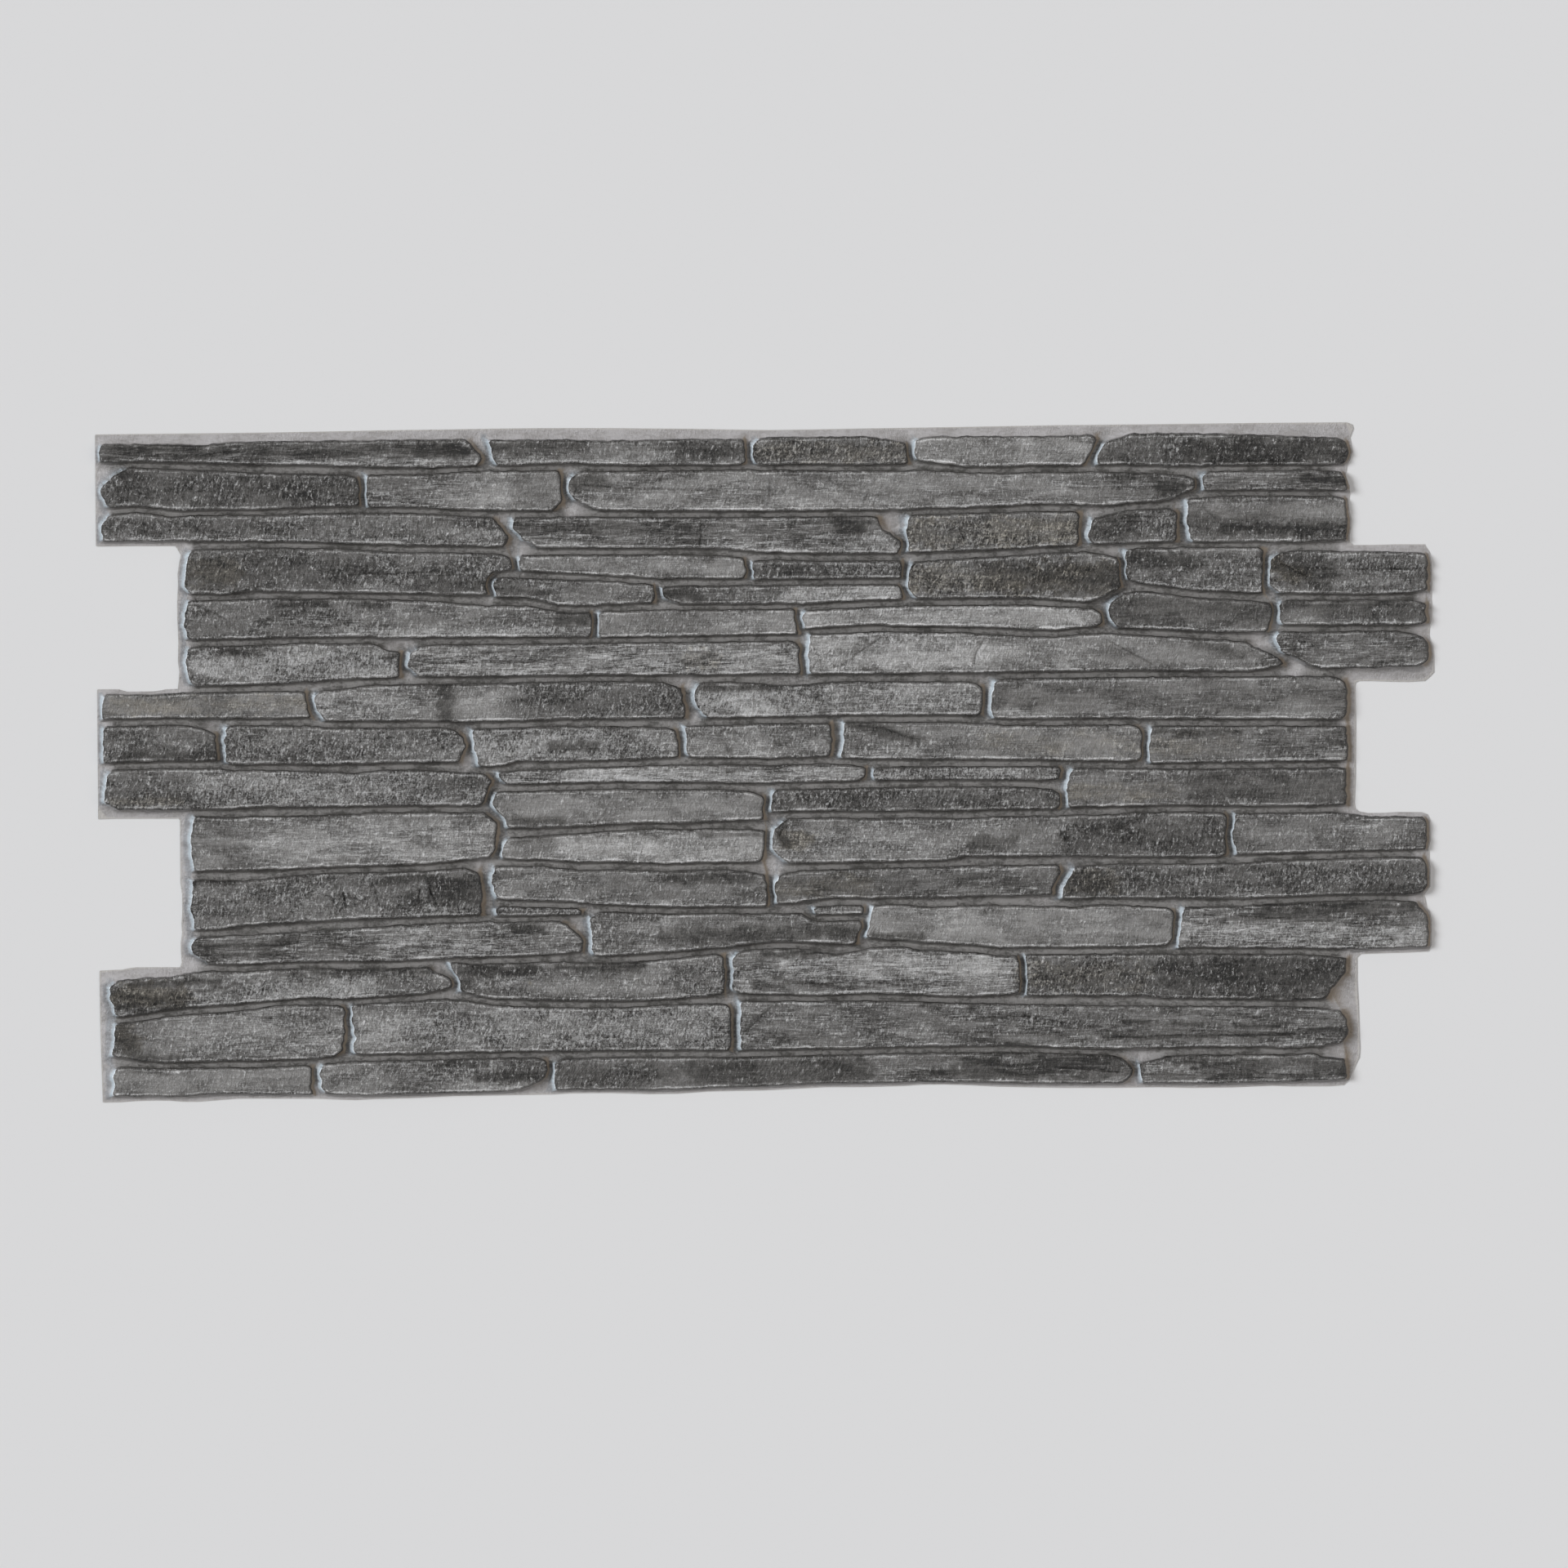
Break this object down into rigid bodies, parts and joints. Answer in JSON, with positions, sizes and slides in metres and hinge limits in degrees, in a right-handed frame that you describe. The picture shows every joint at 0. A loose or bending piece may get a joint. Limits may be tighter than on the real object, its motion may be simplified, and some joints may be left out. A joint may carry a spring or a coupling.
{
  "type": "faux stone wall panel",
  "caption": "Thin vacuum-formed plastic wall panel with a relief of dry-laid slate courses and toothed sides that interlock.",
  "frame": {"origin": "middle of the panel's length and height, on the plane of its back", "axes": "+X along the length, from the side with three teeth to the side with two; +Y up the wall; +Z out of the face"},
  "size_m": [0.98, 0.494, 0.0062],
  "materials": {
    "stone_print": "satin printed slate grey, paler along the joints and the rim"
  },
  "bodies": {
    "root": {"panel_sheet": "stone_print"}
  },
  "joints": []
}
